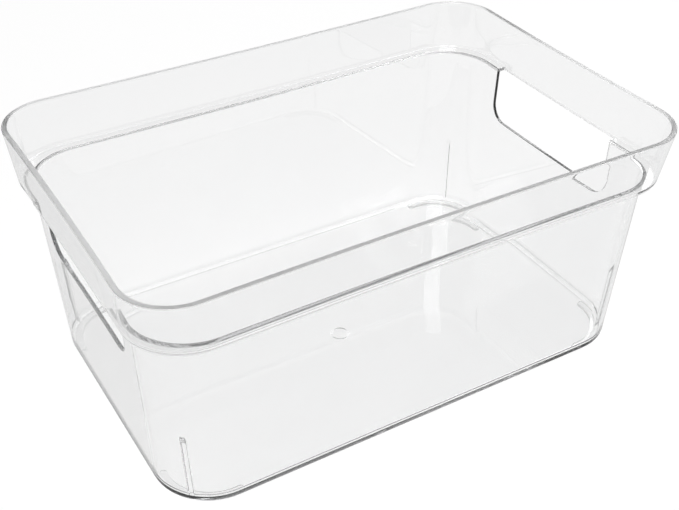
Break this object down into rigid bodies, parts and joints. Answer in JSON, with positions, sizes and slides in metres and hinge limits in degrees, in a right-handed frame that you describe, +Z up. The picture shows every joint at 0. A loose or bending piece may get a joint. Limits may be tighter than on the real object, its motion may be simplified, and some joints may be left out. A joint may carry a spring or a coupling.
{
  "type": "fridge storage bin",
  "caption": "Clear open-top rectangular storage bin with tapered walls, a stepped collar, finger openings in its ends and low feet under its base corners.",
  "frame": {"origin": "under the middle of the base, on the plane that the feet rest on", "axes": "+X along the bin's length, from one finger opening to the other, +Y across its width, +Z up out of its open top"},
  "size_m": [0.3418, 0.2288, 0.153],
  "materials": {
    "clear_shell": "clear, colourless, glossy moulded plastic",
    "clear_foot": "clear, colourless moulded plastic, slightly duller than the shell"
  },
  "bodies": {
    "root": {"bin_shell": "clear_shell", "front_left_foot": "clear_foot", "front_right_foot": "clear_foot", "back_left_foot": "clear_foot", "back_right_foot": "clear_foot"}
  },
  "joints": []
}
